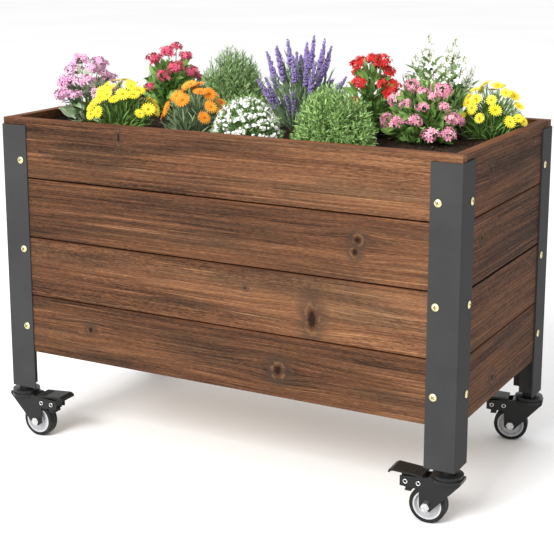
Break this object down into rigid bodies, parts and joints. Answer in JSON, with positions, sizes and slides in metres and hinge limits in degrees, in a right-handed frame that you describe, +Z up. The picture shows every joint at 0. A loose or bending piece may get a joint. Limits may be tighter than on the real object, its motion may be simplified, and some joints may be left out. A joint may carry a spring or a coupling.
{
  "type": "raised planter on legs",
  "caption": "Rectangular raised timber planter with steel angle corner legs on braked swivel casters, filled with soil and flowering plants.",
  "frame": {"origin": "on the ground under the middle of the box, where the tyres touch", "axes": "+X along the long side, -Y the front, +Z up"},
  "size_m": [1.0219, 0.523, 0.869],
  "materials": {
    "leg_steel": "satin",
    "stained_wood": "satin",
    "plain_wood": "matte",
    "liner_fabric": "matte",
    "soil": "matte",
    "zinc_screw": "satin",
    "caster_black": "satin",
    "axle_steel": "gloss",
    "hub_grey": "satin",
    "tyre": "matte",
    "pedal_black": "satin",
    "pink_bloom": "matte",
    "daisy_bloom": "matte",
    "red_bloom": "matte",
    "shrub_green": "matte",
    "white_bloom": "matte",
    "lavender_bloom": "matte"
  },
  "bodies": {
    "planter": {"leg_front_left": "leg_steel", "leg_front_right": "leg_steel", "leg_rear_right": "leg_steel", "leg_rear_left": "leg_steel", "board_front_1": "stained_wood", "board_front_2": "stained_wood", "board_front_3": "stained_wood", "board_front_4": "stained_wood", "board_rear_1": "stained_wood", "board_rear_2": "stained_wood", "board_rear_3": "stained_wood", "board_rear_4": "stained_wood", "board_left_1": "stained_wood", "board_left_2": "stained_wood", "board_left_3": "stained_wood", "board_left_4": "stained_wood", "board_right_1": "stained_wood", "board_right_2": "stained_wood", "board_right_3": "stained_wood", "board_right_4": "stained_wood", "post_front_left": "plain_wood", "post_front_right": "plain_wood", "post_rear_right": "plain_wood", "post_rear_left": "plain_wood", "floor_rails": "plain_wood", "floor_slats": "plain_wood", "liner": "liner_fabric", "soil": "soil", "leg_screws": "zinc_screw", "panel_screws": "zinc_screw", "caster_stem_front_left": "caster_black", "caster_stem_front_right": "caster_black", "caster_stem_rear_right": "caster_black", "caster_stem_rear_left": "caster_black", "plant_pink_clusters": "pink_bloom", "plant_daisies": "daisy_bloom", "plant_red_clusters": "red_bloom", "plant_green_shrubs": "shrub_green", "plant_white_blooms": "white_bloom", "plant_lavender": "lavender_bloom"},
    "swivel_front_left": {"caster_fork_front_left": "caster_black", "caster_axle_front_left": "axle_steel"},
    "wheel_front_left": {"caster_hub_front_left": "hub_grey", "caster_tyre_front_left": "tyre"},
    "pedal_front_left": {"caster_pedal_front_left": "pedal_black"},
    "swivel_front_right": {"caster_fork_front_right": "caster_black", "caster_axle_front_right": "axle_steel"},
    "wheel_front_right": {"caster_hub_front_right": "hub_grey", "caster_tyre_front_right": "tyre"},
    "pedal_front_right": {"caster_pedal_front_right": "pedal_black"},
    "swivel_rear_right": {"caster_fork_rear_right": "caster_black", "caster_axle_rear_right": "axle_steel"},
    "wheel_rear_right": {"caster_hub_rear_right": "hub_grey", "caster_tyre_rear_right": "tyre"},
    "pedal_rear_right": {"caster_pedal_rear_right": "pedal_black"},
    "swivel_rear_left": {"caster_fork_rear_left": "caster_black", "caster_axle_rear_left": "axle_steel"},
    "wheel_rear_left": {"caster_hub_rear_left": "hub_grey", "caster_tyre_rear_left": "tyre"},
    "pedal_rear_left": {"caster_pedal_rear_left": "pedal_black"}
  },
  "joints": [
    {"name": "swivel_front_left", "type": "hinge", "parent": "planter", "child": "swivel_front_left", "pos_m": [-0.48, -0.232, 0.094], "axis": [0, 0, 1], "continuous": true},
    {"name": "wheel_front_left", "type": "hinge", "parent": "swivel_front_left", "child": "wheel_front_left", "pos_m": [-0.44502, -0.23078, 0.035], "axis": [-0.0349, 0.9994, 0], "continuous": true},
    {"name": "brake_front_left", "type": "hinge", "parent": "swivel_front_left", "child": "pedal_front_left", "pos_m": [-0.40505, -0.22938, 0.077], "axis": [-0.0349, 0.9994, 0], "range_deg": [0, 12]},
    {"name": "swivel_front_right", "type": "hinge", "parent": "planter", "child": "swivel_front_right", "pos_m": [0.48, -0.232, 0.094], "axis": [0, 0, 1], "continuous": true},
    {"name": "wheel_front_right", "type": "hinge", "parent": "swivel_front_right", "child": "wheel_front_right", "pos_m": [0.44505, -0.23383, 0.035], "axis": [0.0523, -0.9986, 0], "continuous": true},
    {"name": "brake_front_right", "type": "hinge", "parent": "swivel_front_right", "child": "pedal_front_right", "pos_m": [0.4051, -0.23593, 0.077], "axis": [0.0523, -0.9986, 0], "range_deg": [0, 12]},
    {"name": "swivel_rear_right", "type": "hinge", "parent": "planter", "child": "swivel_rear_right", "pos_m": [0.48, 0.232, 0.094], "axis": [0, 0, 1], "continuous": true},
    {"name": "wheel_rear_right", "type": "hinge", "parent": "swivel_rear_right", "child": "wheel_rear_right", "pos_m": [0.4459, 0.22413, 0.035], "axis": [0.225, -0.9744, 0], "continuous": true},
    {"name": "brake_rear_right", "type": "hinge", "parent": "swivel_rear_right", "child": "pedal_rear_right", "pos_m": [0.40692, 0.21513, 0.077], "axis": [0.225, -0.9744, 0], "range_deg": [0, 12]},
    {"name": "swivel_rear_left", "type": "hinge", "parent": "planter", "child": "swivel_rear_left", "pos_m": [-0.48, 0.232, 0.094], "axis": [0, 0, 1], "continuous": true},
    {"name": "wheel_rear_left", "type": "hinge", "parent": "swivel_rear_left", "child": "wheel_rear_left", "pos_m": [-0.44505, 0.23017, 0.035], "axis": [0.0523, 0.9986, 0], "continuous": true},
    {"name": "brake_rear_left", "type": "hinge", "parent": "swivel_rear_left", "child": "pedal_rear_left", "pos_m": [-0.4051, 0.22807, 0.077], "axis": [0.0523, 0.9986, 0], "range_deg": [0, 12]}
  ]
}
